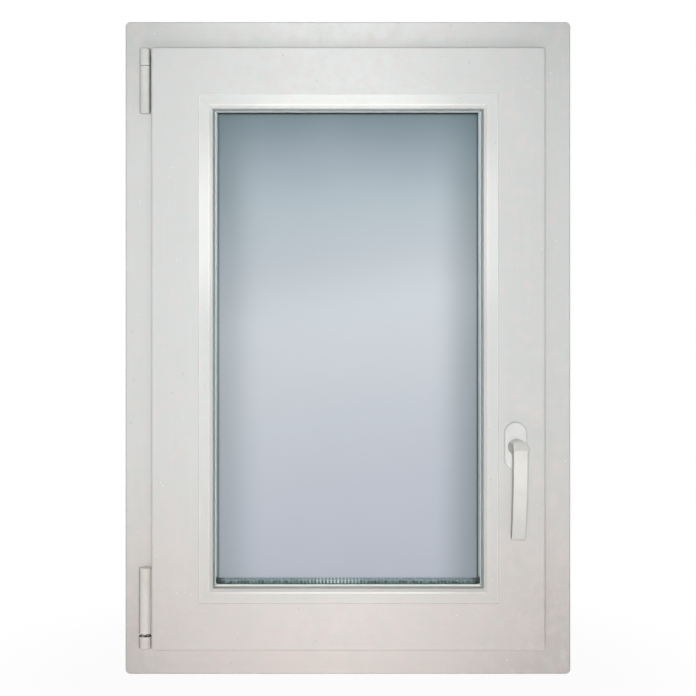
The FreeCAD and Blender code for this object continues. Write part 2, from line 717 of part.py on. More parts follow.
def handle():
    """Rosette screwed to the sash, and a cast handle that turns in its collar on a square spindle."""
    rim = sash_room - ROSETTE_THICKNESS
    centre = Vector(handle_x, rim, HANDLE_HEIGHT)
    plate = stadium(centre, ROSETTE_WIDTH, ROSETTE_LENGTH, ROSETTE_THICKNESS)
    edges = [edge for edge in plate.Edges if edge.BoundBox.YMax < rim + ROSETTE_EDGE_RADIUS / 2]
    plate = plate.makeFillet(ROSETTE_EDGE_RADIUS, edges)
    collar = Part.makeCylinder(COLLAR_RADIUS, COLLAR_HEIGHT, centre, Vector(0, -1, 0))
    return {
        "handle_rosette": plate.fuse(collar).removeSplitter().cut(spindle_bore()),
        "handle_grip": grip(),
        "handle_spindle": spindle(),
    }


def drain_caps():
    """Hoods over the drain slots, outdoors on the sill."""
    nodes = {}
    for name, sign in (("left", -1), ("right", 1)):
        middle = sign * (FRAME_WIDTH / 2 - DRAIN_CAP_INSET)
        centre = Vector(middle, frame_outdoor, DRAIN_CAP_RISE + DRAIN_CAP_HEIGHT / 2)
        cap = stadium(centre, DRAIN_CAP_LENGTH, DRAIN_CAP_HEIGHT, DRAIN_CAP_THICKNESS)
        rim = frame_outdoor + DRAIN_CAP_THICKNESS - DRAIN_CAP_EDGE_RADIUS
        edges = [edge for edge in cap.Edges if edge.BoundBox.YMin > rim]
        nodes["drain_cap_" + name] = cap.makeFillet(DRAIN_CAP_EDGE_RADIUS, edges)
    return nodes


def build():
    nodes = {}
    makers = (
        frame_profiles,
        sash_profiles,
        beads,
        glazing_seals,
        glass_unit,
        corner_hinge,
        stay_hinge,
        lock_gear,
        handle,
        drain_caps,
    )
    for maker in makers:
        nodes.update(maker())
    return nodes


os.makedirs("parts", exist_ok=True)
for node_name, shape in build().items():
    if not shape.isValid():
        print("not valid:", node_name)
    shape.exportStep(os.path.join("parts", node_name + ".step"))
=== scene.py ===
import math
import bmesh
import bpy
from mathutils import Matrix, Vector


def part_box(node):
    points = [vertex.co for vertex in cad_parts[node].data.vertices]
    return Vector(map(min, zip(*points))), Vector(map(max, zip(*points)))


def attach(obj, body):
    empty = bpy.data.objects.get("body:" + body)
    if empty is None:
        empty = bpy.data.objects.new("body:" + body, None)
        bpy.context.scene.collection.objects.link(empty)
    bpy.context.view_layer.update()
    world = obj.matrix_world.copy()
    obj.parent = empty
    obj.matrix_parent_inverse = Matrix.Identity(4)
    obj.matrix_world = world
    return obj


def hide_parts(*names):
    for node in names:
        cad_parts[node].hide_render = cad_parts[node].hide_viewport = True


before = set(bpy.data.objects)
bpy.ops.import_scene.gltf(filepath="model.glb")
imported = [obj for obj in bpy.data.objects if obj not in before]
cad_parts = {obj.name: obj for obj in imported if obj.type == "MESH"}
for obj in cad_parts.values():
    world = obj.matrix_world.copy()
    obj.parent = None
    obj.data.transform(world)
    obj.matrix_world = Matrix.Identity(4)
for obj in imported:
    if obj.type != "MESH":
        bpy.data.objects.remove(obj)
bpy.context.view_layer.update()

# Outer frame: four hollow white PVC profiles, extruded, sawn at 45 degrees and welded at the corners.
# The weld is planed flush, so only a hairline shows; the face has a fine mottle and faint extrusion
# streaks, and is warm and grey towards the sill with dust and painted shade. Painted shade also greys
# its sides, corners and outer edge, and painted light brightens it under the head.
frame_low, frame_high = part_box("frame_hinge_jamb")[0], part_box("frame_lock_jamb")[1]
half_width = (frame_high.x - frame_low.x) / 2
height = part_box("frame_head")[1].z


class Field:
    """A value, colour or vector that a node gives; arithmetic on values adds Math nodes."""

    def __init__(self, tree, outlet=None):
        self.tree = tree
        self.outlet = outlet

    def node(self, kind, settings, sockets, outlet):
        made = self.tree.nodes.new(kind)
        for name, value in settings.items():
            if name == "stops":
                ramp = made.color_ramp
                while len(ramp.elements) < len(value):
                    ramp.elements.new(1.0)
                for element, (position, colour) in zip(ramp.elements, value):
                    element.position = position
                    element.color = colour
            else:
                setattr(made, name, value)
        for name, value in sockets.items():
            self.feed(next(socket for socket in made.inputs if socket.identifier == name), value)
        return Field(self.tree, next(socket for socket in made.outputs if socket.identifier == outlet))

    def feed(self, socket, value):
        if isinstance(value, Field):
            self.tree.links.new(value.outlet, socket)
        else:
            socket.default_value = value

    def also(self, name):
        """Another output of the same node."""
        return Field(self.tree, self.outlet.node.outputs[name])

    def calculate(self, operation, first, second=0.0):
        sockets = {"Value": first, "Value_001": second}
        return self.node("ShaderNodeMath", {"operation": operation}, sockets, "Value")

    def __add__(self, other):
        return self.calculate("ADD", self, other)

    def __radd__(self, other):
        return self.calculate("ADD", other, self)

    def __sub__(self, other):
        return self.calculate("SUBTRACT", self, other)

    def __rsub__(self, other):
        return self.calculate("SUBTRACT", other, self)

    def __mul__(self, other):
        return self.calculate("MULTIPLY", self, other)

    def __rmul__(self, other):
        return self.calculate("MULTIPLY", other, self)

    def __truediv__(self, other):
        return self.calculate("DIVIDE", self, other)

    def __pow__(self, other):
        return self.calculate("POWER", self, other)

    def __abs__(self):
        return self.calculate("ABSOLUTE", self)

    def least(self, other):
        return self.calculate("MINIMUM", self, other)

    def most(self, other):
        return self.calculate("MAXIMUM", self, other)

    def rise(self, start, end):
        """Goes smoothly from 0 to 1 as this value goes from start to end."""
        settings = {"interpolation_type": "SMOOTHSTEP"}
        sockets = {"Value": self, "From Min": start, "From Max": end}
        return self.node("ShaderNodeMapRange", settings, sockets, "Result")

    def fall(self, start, end):
        """Goes smoothly from 1 to 0 as this value goes from start to end."""
        return 1 - self.rise(start, end)

    def blend(self, first, second):
        """Colour that goes from first to second as this value goes from 0 to 1."""
        sockets = {"Factor_Float": self, "A_Color": first, "B_Color": second}
        return self.node("ShaderNodeMix", {"data_type": "RGBA"}, sockets, "Result_Color")

    def ramp(self, stops):
        """Colour from stops, each with its position and its colour."""
        return self.node("ShaderNodeValToRGB", {"stops": stops}, {"Fac": self}, "Color")

    def mix(self, first, second):
        """Shader that goes from first to second as this value goes from 0 to 1."""
        sockets = {"Fac": self, "Shader": first, "Shader_001": second}
        return self.node("ShaderNodeMixShader", {}, sockets, "Shader")

    def stretched(self, along_x, along_y, along_z):
        """This vector, scaled along its axes."""
        sockets = {"Vector": self, "Vector_001": (along_x, along_y, along_z)}
        return self.node("ShaderNodeVectorMath", {"operation": "MULTIPLY"}, sockets, "Vector")

    def noise(self, per_metre, detail=2.0, roughness=0.5):
        """Cloudy noise at this place, about 0.5, with this many clouds to the metre."""
        sockets = {"Vector": self, "Scale": per_metre, "Detail": detail, "Roughness": roughness}
        return self.node("ShaderNodeTexNoise", {}, sockets, "Fac")

    def specks(self, per_metre):
        """Distance to the nearest of scattered points, as a share of their spacing."""
        sockets = {"Vector": self, "Scale": per_metre}
        return self.node("ShaderNodeTexVoronoi", {}, sockets, "Distance")

    def axes(self):
        """The x, y and z of this place."""
        x = self.node("ShaderNodeSeparateXYZ", {}, {"Vector": self}, "X")
        return x, x.also("Y"), x.also("Z")

    def bump(self, strength, distance):
        """Normal of a surface with this height on it."""
        sockets = {"Height": self, "Strength": strength, "Distance": distance}
        return self.node("ShaderNodeBump", {}, sockets, "Normal")


def paint(red, green, blue):
    """Colour of a paint from its 0-255 screen values."""
    shares = [value / 255 for value in (red, green, blue)]
    linear = [s / 12.92 if s <= 0.04045 else ((s + 0.055) / 1.055) ** 2.4 for s in shares]
    return (*linear, 1.0)


def new_finish(name):
    """New material, and the place on the surface as its first field."""
    material = bpy.data.materials.new(name)
    material.use_nodes = True
    place = Field(material.node_tree).node("ShaderNodeTexCoord", {}, {}, "Object")
    return material, place


def coat(material, **sockets):
    """Sets or feeds the sockets of the material's Principled shader."""
    shader = material.node_tree.nodes["Principled BSDF"]
    for name, value in sockets.items():
        Field(material.node_tree).feed(shader.inputs[name.replace("_", " ")], value)


def wear(material, *names):
    """Gives a finish to nodes of the frame."""
    for name in names:
        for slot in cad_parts[name].material_slots:
            slot.material = material


def insets(place):
    """How far a place is from the window's nearer upright edge and from its nearer level edge."""
    x, _, z = place.axes()
    return half_width - abs(x), z.least(height - z)


def painted_light_and_shade(place, colour, corner_shade):
    """Painted light under the head, and painted shade at the sides, more at the right, and in the corners,
    warmer towards the sill.
    """
    side_shade_reach = 0.26
    head_start = height - 0.034
    head_end = height - 0.018
    x, _, z = place.axes()
    # Painted light under the middle of the head.
    head_light = z.rise(head_start, head_end) * abs(x).fall(0.2, 0.28)
    colour = (head_light * 0.2).blend(colour, paint(250, 251, 251))
    # Painted shade towards the sides, stronger at the right.
    side_shade = abs(x).rise(0.0, side_shade_reach) * 0.35 + x.rise(-0.05, side_shade_reach) * 0.15
    side_shade_grey = z.rise(0.1, 0.5).blend(paint(178, 172, 169), paint(178, 180, 179))
    colour = side_shade.blend(colour, side_shade_grey)
    # Painted shade in the corners.
    far_x = x / half_width
    far_z = (z - height / 2) / (height / 2)
    to_corner = (far_x * far_x * far_z * far_z).rise(0.25, 1.05)
    corner_grey = z.rise(0.2, 0.6).blend(paint(176, 172, 168), paint(176, 180, 178))
    return (to_corner * corner_shade).blend(colour, corner_grey)


def stained(place, mottle, colour):
    """Soft patches of grey-green, warm, rosy and mossy white."""
    warm = place.noise(21.0, 2.0)
    rosy = place.noise(74.0, 2.0)
    mossy = place.stretched(1.1, 1.0, 0.9).noise(68.0, 2.0)
    patches = (
        (mottle.rise(0.40, 0.66) * 0.16, paint(200, 206, 200)),
        (warm.rise(0.45, 0.75) * 0.16, paint(222, 214, 212)),
        (rosy.rise(0.5, 0.68) * 0.24, paint(224, 208, 206)),
        (mossy.rise(0.52, 0.7) * 0.20, paint(204, 214, 204)),
    )
    for share, tone in patches:
        colour = share.blend(colour, tone)
    return colour


def specked(place, colour):
    """Scattered bright and dull specks, each kind in patches of its own."""
    bright = place.specks(58.0).fall(0.045, 0.075) * place.noise(13.0).rise(0.45, 0.52)
    colour = (bright * 0.36).blend(colour, paint(250, 250, 248))
    dull = place.stretched(1.0, 1.0, 1.13).specks(47.0).fall(0.04, 0.07)
    dull = dull * place.noise(11.0).fall(0.44, 0.5)
    return (dull * 0.45).blend(colour, paint(172, 172, 168))


def white_pvc(name, clean, dust_and_shade, corner_shade, painted_shading):
    """White window PVC with streaks along each length, weld hairlines, and dust and painted shade towards
    the sill; the last argument adds a piece's painted light and shade.
    """
    streaks_per_metre = 420.0
    streak_stretch = 0.03
    dust_and_shade_height = 0.34
    material, place = new_finish(name)
    _, _, z = place.axes()
    from_side, from_level = insets(place)
    upright = (from_level - from_side).rise(-0.001, 0.001)
    across = place.stretched(1.0, 1.0, streak_stretch).noise(streaks_per_metre, 3.0)
    along = place.stretched(streak_stretch, 1.0, 1.0).noise(streaks_per_metre, 3.0)
    streaks = upright * across + (1 - upright) * along
    mottle = place.noise(34.0, 4.0, 0.62)
    grain = place.noise(620.0, 2.0, 0.6)
    # Warmer and darker towards the sill: dust and painted shade.
    colour = (z.fall(0.0, dust_and_shade_height) * 0.75).blend(clean, dust_and_shade)
    colour = painted_light_and_shade(place, colour, corner_shade)
    colour = stained(place, mottle, colour)
    fine = (grain - 0.5) * 0.20 + (streaks - 0.5) * 0.16
    colour = (fine.rise(0.02, 0.09) * 0.22).blend(colour, paint(250, 251, 250))
    colour = (fine.fall(-0.09, -0.02) * 0.20).blend(colour, paint(186, 188, 186))
    colour = painted_shading(place, specked(place, colour))
    weld = abs(from_side - from_level).fall(0.0002, 0.0008)
    colour = (weld * 0.10).blend(colour, paint(178, 180, 178))
    relief = grain * 0.35 + streaks * 0.35 + mottle * 0.5 - weld * 0.4
    coat(
        material,
        Base_Color=colour,
        Roughness=0.30 + mottle * 0.16 + grain * 0.05,
        Specular_IOR_Level=0.42,
        Normal=relief.bump(0.25, 0.0004),
    )
    return material


def painted_rim_shade(place, colour):
    """Thin painted shade line round the room face's outer edge, fainter along the head."""
    rim_start = 0.0006
    rim_end = 0.0018
    _, y, z = place.axes()
    from_side, from_level = insets(place)
    on_face = y.fall(frame_low.y + 0.001, frame_low.y + 0.003)
    strength = 0.5 - 0.38 * z.rise(height - 0.004, height - 0.002)
    rim = from_side.least(from_level).fall(rim_start, rim_end) * on_face * strength
    return rim.blend(colour, paint(138, 137, 135))


frame_pvc = white_pvc("frame_pvc", paint(225, 227, 226), paint(223, 210, 205), 0.5, painted_rim_shade)
wear(frame_pvc, "frame_sill", "frame_head", "frame_hinge_jamb", "frame_lock_jamb")

# Frame gasket: one length of grey rubber pressed into the groove of the frame's outer upstand.
# It is matt and porous, and holds a little pale dust.


def rubber(name, body, dust):
    """Matt gasket rubber with pores and patches of pale dust."""
    material, place = new_finish(name)
    pores = place.noise(900.0, 2.0)
    bloom = place.noise(60.0, 3.0)
    colour = bloom.rise(0.42, 0.7).blend(body, dust)
    coat(
        material,
        Base_Color=colour,
        Roughness=0.62 + bloom * 0.2,
        Specular_IOR_Level=0.3,
        Normal=(pores + bloom * 0.5).bump(0.3, 0.0003),
    )
    return material


gasket = rubber("gasket_rubber", paint(128, 130, 128), paint(150, 151, 148))
wear(gasket, "frame_seal")

# Drain hoods: two small injection-moulded caps clipped over the slots that let water out of the sill.
# They are the frame's white, a little glossier.


def moulded_white(name, body, shade, painted_shading=None):
    """Moulded white plastic with a slight orange peel and a little dust; the last argument, if given, adds
    a piece's painted shade.
    """
    material, place = new_finish(name)
    peel = place.noise(380.0, 2.0)
    cloud = place.noise(55.0, 3.0)
    colour = cloud.rise(0.42, 0.72).blend(body, shade)
    colour = (place.noise(1500.0, 1.0).rise(0.62, 0.7) * 0.25).blend(colour, paint(196, 195, 190))
    if painted_shading is not None:
        colour = painted_shading(place, colour)
    coat(
        material,
        Base_Color=colour,
        Roughness=0.26 + cloud * 0.14,
        Specular_IOR_Level=0.45,
        Normal=peel.bump(0.12, 0.0003),
    )
    return material


hood_plastic = moulded_white("hood_plastic", paint(224, 226, 223), paint(212, 212, 206))
wear(hood_plastic, "drain_cap_left", "drain_cap_right")

# Strikers: four plates of zinc-plated steel in the frame's rebate, each held by two cross-head screws.
# The zinc has a grey spangle and duller patches.


def zinc(name, body, dull):
    """Zinc-plated steel: a grey spangle, drawn lines and duller patches."""
    material, place = new_finish(name)
    spangle = place.noise(240.0, 4.0, 0.7)
    drawn = place.stretched(1.0, 1.0, 0.05).noise(1400.0, 2.0)
    patch = place.noise(45.0, 3.0)
    colour = patch.rise(0.4, 0.7).blend(body, dull)
    colour = (spangle.rise(0.55, 0.7) * 0.35).blend(colour, paint(226, 228, 230))
    coat(
        material,
        Base_Color=colour,
        Metallic=1.0,
        Roughness=0.26 + patch * 0.2 + drawn * 0.08,
        Normal=(drawn + spangle * 0.4).bump(0.12, 0.0002),
    )
    return material


def circle(mesh, centre, across, up, radius, count):
    """Ring of points about a centre."""
    turns = [2 * math.pi * index / count for index in range(count)]
    return [mesh.verts.new(centre + radius * (math.cos(t) * across + math.sin(t) * up)) for t in turns]


def band(mesh, low, high):
    """Faces between two rings of the same count."""
    count = len(low)
    for index in range(count):
        following = (index + 1) % count
        mesh.faces.new((low[index], low[following], high[following], high[index]))


def closed_edges(mesh, ring):
    """Edges round a ring, made where they are missing."""
    found = []
    for index, point in enumerate(ring):
        pair = (point, ring[(index + 1) % len(ring)])
        found.append(mesh.edges.get(pair) or mesh.edges.new(pair))
    return found


def cross_screw(mesh, seat, outward, radius):
    """Low pan head with a cross recess, on a seat."""
    head = radius * 0.55
    shoulder = head * 0.55
    chamfer = radius * 0.8
    arm = radius * 0.52
    web = radius * 0.15
    depth = head * 0.7
    segments = 28
    outward = outward.normalized()
    across = outward.orthogonal().normalized()
    up = outward.cross(across)
    foot = circle(mesh, seat, across, up, radius, segments)
    rim = circle(mesh, seat + outward * shoulder, across, up, radius, segments)
    crown = circle(mesh, seat + outward * head, across, up, chamfer, segments)
    band(mesh, foot, rim)
    band(mesh, rim, crown)
    corners = (
        (web, web), (web, arm), (-web, arm), (-web, web), (-arm, web), (-arm, -web),
        (-web, -web), (-web, -arm), (web, -arm), (web, -web), (arm, -web), (arm, web),
    )
    lip = [mesh.verts.new(seat + outward * head + across * u + up * v) for u, v in corners]
    floor = [mesh.verts.new(point.co - outward * depth) for point in lip]
    bmesh.ops.triangle_fill(
        mesh,
        use_beauty=True,
        edges=closed_edges(mesh, crown) + closed_edges(mesh, lip),
    )
    band(mesh, lip, floor)
    mesh.faces.new(floor)


def add_piece(name, mesh, material, body, crease=35.0):
    """Makes an object of a mesh, gives it its finish and lets it ride on a body."""
    bmesh.ops.recalc_face_normals(mesh, faces=mesh.faces)
    data = bpy.data.meshes.new(name)
    mesh.to_mesh(data)
    mesh.free()
    data.materials.append(material)
    data.shade_smooth()
    data.set_sharp_from_angle(angle=math.radians(crease))
    piece = bpy.data.objects.new(name, data)
    bpy.context.scene.collection.objects.link(piece)
    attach(piece, body)
    return piece


striker_zinc = zinc("striker_zinc", paint(178, 181, 184), paint(150, 152, 155))
screw_zinc = zinc("screw_zinc", paint(190, 192, 194), paint(168, 170, 172))
striker_screw_radius = 0.0034
striker_screw_share = 0.3
striker_lip = 0.003
striker_plate = 0.0025
striker_faces = {
    "striker_lower": Vector((-1, 0, 0)),
    "striker_upper": Vector((-1, 0, 0)),
    "striker_top": Vector((0, 0, -1)),
    "striker_bottom": Vector((0, 0, 1)),
}
wear(striker_zinc, *striker_faces)
for striker_name, outward in striker_faces.items():
    low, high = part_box(striker_name)
    middle = (low + high) / 2
    frame_side = Vector([low[axis] if outward[axis] > 0 else high[axis] for axis in range(3)])
    depth = (low.y + striker_lip + high.y) / 2
    lengthwise = Vector((0, 0, 1)) if outward.x else Vector((1, 0, 0))
    length = (high - low).dot(lengthwise)
    screws = bmesh.new()
    for side in (-1, 1):
        seat = middle + lengthwise * side * length * striker_screw_share
        seat.y = depth
        for axis in (0, 2):
            if outward[axis]:
                seat[axis] = frame_side[axis] + outward[axis] * striker_plate
        cross_screw(screws, seat, outward, striker_screw_radius)
    add_piece(striker_name + "_screws", screws, screw_zinc, "frame")

# Frame fixings: four long screws that hold the jambs to the wall, in the drain channel of the rebate.
# Each hole is closed by a pressed white plastic cap.
cap_plastic = moulded_white("cap_plastic", paint(226, 228, 226), paint(214, 215, 211))
cap_radius = 0.0052
cap_height = 0.0012
cap_segments = 32
cap_profile = ((1.0, 0.0), (1.0, 0.5), (0.86, 1.0), (0.3, 1.0), (0.2, 0.6))
fixing_inset = 0.190
channel_floor = 0.041
channel_depth = 0.003
crosswise = Vector((0, 1, 0))
plumb = Vector((0, 0, 1))
for cap_side, cap_name in ((-1, "hinge_jamb"), (1, "lock_jamb")):
    caps = bmesh.new()
    for cap_z in (fixing_inset, height - fixing_inset):
        inward = Vector((-cap_side, 0, 0))
        seat = Vector((cap_side * (half_width - channel_floor), channel_depth, cap_z))
        rings = []
        for share, lift in cap_profile:
            centre = seat + inward * cap_height * lift
            rings.append(circle(caps, centre, crosswise, plumb, cap_radius * share, cap_segments))
        for lower, upper in zip(rings, rings[1:]):
            band(caps, lower, upper)
        caps.faces.new(rings[-1])
    add_piece("fixing_caps_" + cap_name, caps, cap_plastic, "frame")

# Hinge barrels: steel on the hinge jamb and the sash, under white moulded covers.
# The covers are slightly greyer than the profiles, and painted shade darkens both sides of each barrel.


def barrel_side_shade(barrel, start, end, tone):
    """Painted shade for a barrel's sides, from start to end as shares of its radius."""
    low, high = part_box(barrel)
    middle = (low.x + high.x) / 2
    radius = (high.x - low.x) / 2

    def painted_shading(place, colour):
        x, _, _ = place.axes()
        barrel_shade = abs(x - middle).rise(radius * start, radius * end) * 0.8
        return barrel_shade.blend(colour, tone)

    return painted_shading


upper_side_shade = barrel_side_shade("stay_bearing", 0.66, 0.9, paint(112, 110, 106))
lower_side_shade = barrel_side_shade("corner_sleeve", 0.66, 0.9, paint(112, 110, 106))
upper_cover = moulded_white("upper_cover", paint(213, 214, 211), paint(204, 204, 200), upper_side_shade)
lower_cover = moulded_white("lower_cover", paint(217, 213, 207), paint(209, 205, 199), lower_side_shade)
wear(upper_cover, "stay_bearing", "stay_band")
wear(lower_cover, "corner_sleeve")

# Corner bearing: the block under the lower barrel, with the same cover and the same painted shade at its
# sides.
# Its top is painted near black as the shade in the hinge's gap.
bearing_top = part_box("corner_bearing")[1].z
bearing_cover, place = new_finish("bearing_cover")
_, _, z = place.axes()
grease = place.noise(500.0, 2.0)
# Painted shade: the top is near black where it shows in the hinge's gap.
gap_shade_top = z.rise(bearing_top - 0.0004, bearing_top - 0.0002)
cover_colour = place.noise(55.0, 3.0).rise(0.42, 0.72).blend(paint(216, 209, 204), paint(208, 201, 196))
cover_side_shade = barrel_side_shade("corner_sleeve", 0.68, 0.92, paint(104, 101, 97))
cover_colour = cover_side_shade(place, cover_colour)
coat(
    bearing_cover,
    Base_Color=gap_shade_top.blend(cover_colour, paint(20, 20, 19)),
    Roughness=0.3 + grease * 0.2,
    Specular_IOR_Level=0.4,
    Normal=grease.bump(0.12, 0.0003),
)
wear(bearing_cover, "corner_bearing")

# Hinge pins and pivot cup: turned steel.
# The pins are zinc plated and bright, and the cup is painted near black as the shade in the hinge's gap.
pin_zinc = zinc("pin_zinc", paint(214, 216, 218), paint(190, 191, 190))
wear(pin_zinc, "stay_pin", "sleeve_pin")
cup_painted_shade = zinc("cup_painted_shade", paint(34, 33, 31), paint(22, 22, 21))
wear(cup_painted_shade, "pivot_cup")

# Stay arm: a pressed steel bar over the sash that lets it tilt and holds its top.
# It is zinc plated, with drawn lines along it.
stay_zinc = zinc("stay_zinc", paint(184, 186, 189), paint(158, 160, 163))
wear(stay_zinc, "stay_arm")

# Sash: four hollow white PVC profiles like the frame's, welded at the corners.
# Its face is a little cleaner than the frame's, and painted light makes its lower edge pale.
sash_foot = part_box("sash_bottom_rail")[0].z


def painted_light_foot(place, colour):
    """Painted light: a pale line along the sash's lower edge."""
    _, _, z = place.axes()
    foot_light = (z - sash_foot).fall(0.0008, 0.0025) * 0.4
    return foot_light.blend(colour, paint(255, 252, 248))


sash_pvc = white_pvc("sash_pvc", paint(225, 227, 226), paint(226, 214, 208), 0.36, painted_light_foot)
wear(sash_pvc, "sash_bottom_rail", "sash_top_rail", "sash_hinge_stile", "sash_lock_stile")

# Sash gasket: one length of the frame gasket's rubber.
# It is pressed into the back of the sash's overlap.
wear(gasket, "sash_seal")

# Lock gear: zinc-plated rails let into the sash's edge, with mushroom cams riveted to them.
# Cross-head screws hold each rail to the steel inside the sash.
gear_zinc = zinc("gear_zinc", paint(186, 188, 190), paint(160, 162, 165))
cam_zinc = zinc("cam_zinc", paint(206, 207, 209), paint(184, 185, 186))
wear(gear_zinc, "gear_rail_lock", "gear_rail_top", "gear_rail_bottom")
wear(cam_zinc, "cam_lower", "cam_upper", "cam_top", "cam_bottom")
rail_screw_radius = 0.0032
rail_screws = {
    "gear_rail_lock": (Vector((1, 0, 0)), (0.04, 0.3, 0.5, 0.7, 0.96)),
    "gear_rail_top": (Vector((0, 0, 1)), (0.06, 0.92)),
    "gear_rail_bottom": (Vector((0, 0, -1)), (0.06, 0.4, 0.92)),
}
for rail_name, (outward, shares) in rail_screws.items():
    low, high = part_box(rail_name)
    screws = bmesh.new()
    for share in shares:
        seat = low.lerp(high, share)
        seat.y = (low.y + high.y) / 2
        if outward.x:
            seat.x = high.x
        else:
            seat.z = high.z if outward.z > 0 else low.z
        cross_screw(screws, seat, outward, rail_screw_radius)
    add_piece(rail_name + "_screws", screws, screw_zinc, "sash")

# Outer pane: 4 mm float glass with a satin inner face, so that what is behind it shows only as a blur.
# Its colour is a soft cloud of grey and blue painted in, with painted shade at the top and towards the
# edges by the seals.
pane_low, pane_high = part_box("outer_pane")
pane_height = pane_high.z - pane_low.z
cloud_slant = 0.16
edge_reach = 0.06
rim_start = 0.0004
rim_end = 0.0022
satin_glass, place = new_finish("satin_glass")
x, _, z = place.axes()
pane_rise = (z - pane_low.z) / pane_height
cloud_rise = pane_rise - x * pane_rise.fall(0.7, 0.88) * (cloud_slant / pane_height)
# Painted shade: the cloud darkens towards the top.
cloud = cloud_rise.ramp((
    (0.03, paint(193, 197, 208)),
    (0.18, paint(197, 201, 212)),
    (0.39, paint(205, 209, 217)),
    (0.57, paint(210, 215, 221)),
    (0.68, paint(194, 200, 208)),
    (0.80, paint(178, 189, 197)),
    (0.88, paint(156, 168, 179)),
    (0.94, paint(132, 147, 158)),
    (0.975, paint(118, 137, 144)),
))
pane_half = (pane_high.x - pane_low.x) / 2
spacer_cover = 0.0148
to_edge = pane_half - spacer_cover - abs(x)
# Painted shade towards the pane's edges, stronger at the right and the upper left, and a dark painted rim
# at the edge.
upper_left = pane_rise.rise(0.6, 0.95) * x.fall(-0.1, 0.1)
edge_shade = to_edge.fall(0.0, edge_reach) * (0.34 + 0.17 * x.rise(-0.1, 0.1) + 0.2 * upper_left)
satin_colour = edge_shade.blend(cloud, paint(84, 106, 112))
rim_shade = to_edge.fall(rim_start, rim_end) * 0.6
satin_colour = rim_shade.blend(satin_colour, paint(58, 74, 78))
drift = place.stretched(1.0, 1.0, 0.6).noise(9.0, 2.0)
satin_colour = (drift.rise(0.4, 0.7) * 0.06).blend(satin_colour, paint(214, 219, 225))
coat(
    satin_glass,
    Base_Color=satin_colour,
    Roughness=0.46 + drift * 0.08,
    IOR=1.45,
    Transmission_Weight=0.92,
    Normal=place.noise(1600.0, 1.0).bump(0.05, 0.0001),
)
wear(satin_glass, "outer_pane")

# Inner pane: 4 mm clear float glass, faintly green.
# Only the face to the room mirrors, faintly smeared.
pale_green = (0.985, 0.995, 0.99, 1.0)
room_start = -0.0315
room_end = -0.0305
clear_glass, place = new_finish("clear_glass")
tree = clear_glass.node_tree
tree.nodes.remove(tree.nodes["Principled BSDF"])
smear = place.noise(14.0, 3.0)
_, y, _ = place.axes()
room_face = y.fall(room_start, room_end)
sheen = place.node("ShaderNodeFresnel", {}, {"IOR": 1.45}, "Fac") * room_face
passing = place.node("ShaderNodeBsdfTransparent", {}, {"Color": pale_green}, "BSDF")
mirror = place.node("ShaderNodeBsdfAnisotropic", {}, {"Roughness": 0.03 + smear * 0.04}, "BSDF")
glass_shader = sheen.mix(passing, mirror)
tree.links.new(glass_shader.outlet, tree.nodes["Material Output"].inputs["Surface"])
wear(clear_glass, "inner_pane")

# Spacer bar: a roll-formed aluminium tube bent round between the panes.
# Its colour is mostly painted light and shade: along the sill its side is painted deep teal shade, ridged,
# with a painted glint near the middle and painted shade at the corners, and its upper face is painted
# lighter; the uprights are painted dark inside with a light front, and the head is painted bright.
bar_low, bar_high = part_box("spacer_bar")
ridge_pitch = 0.0046
glint_x = -0.018
glint_reach = 0.05
side_end = 0.0066
face_start = 0.0074
sill_end = 0.010
upright_start = 0.014
spacer_metal, place = new_finish("spacer_metal")
x, y, z = place.axes()
ridge_turn = x * (2 * math.pi / ridge_pitch)
ridges = ridge_turn.calculate("SINE", ridge_turn)
brushed = place.noise(260.0, 3.0)
uneven = place.stretched(1.0, 0.0, 0.0).noise(190.0, 2.0)
# Painted highlight: a glint on the ridges near the middle.
glint = abs(x - glint_x).fall(0.002, glint_reach)
ribbed = ridges.rise(-0.3, 0.8) * (0.10 + glint * (0.35 + uneven.rise(0.3, 0.62) * 0.65))
over_foot = z - bar_low.z
# Painted light on the upper face and painted deep teal shade on the side.
upper = over_foot.rise(side_end, face_start)
side_colour = brushed.rise(0.38, 0.62).blend(paint(62, 86, 92), paint(112, 140, 142))
side_colour = ribbed.blend(side_colour, paint(232, 252, 250))
face_colour = brushed.rise(0.38, 0.62).blend(paint(138, 162, 158), paint(182, 206, 202))
face_colour = ribbed.blend(face_colour, paint(252, 255, 255))
sill_colour = upper.blend(side_colour, face_colour)
# Painted shade at the corners.
corner_painted_shade = (bar_high.x - abs(x)).fall(0.009, 0.02)
sill_colour = corner_painted_shade.blend(sill_colour, paint(28, 46, 44))
# Painted shade inside the uprights, darker low down.
upright_colour = z.rise(height * 0.3, height * 0.75).blend(paint(52, 62, 64), paint(118, 132, 136))
upright_colour = (brushed.rise(0.55, 0.75) * 0.5).blend(upright_colour, paint(150, 168, 170))
from_side, from_level = insets(place)
on_head = (from_side - from_level).rise(0.0, 0.002) * z.rise(height * 0.7, height * 0.75)
# Painted light on the head and on the uprights' front.
head_colour = brushed.rise(0.35, 0.7).blend(paint(222, 234, 236), paint(244, 250, 250))
to_room = y.fall(bar_low.y + 0.0003, bar_low.y + 0.0008)
front_colour = z.rise(height * 0.3, height * 0.75).blend(paint(176, 190, 190), paint(214, 224, 230))
upright_colour = to_room.blend(upright_colour, front_colour)
rim_colour = on_head.blend(upright_colour, head_colour)
spacer_colour = over_foot.rise(sill_end, upright_start).blend(sill_colour, rim_colour)
coat(
    spacer_metal,
    Base_Color=spacer_colour,
    Metallic=0.1 + on_head * 0.9,
    Roughness=0.3 + brushed * 0.2,
    Normal=ridges.bump(0.2, 0.0004),
)
wear(spacer_metal, "spacer_bar")

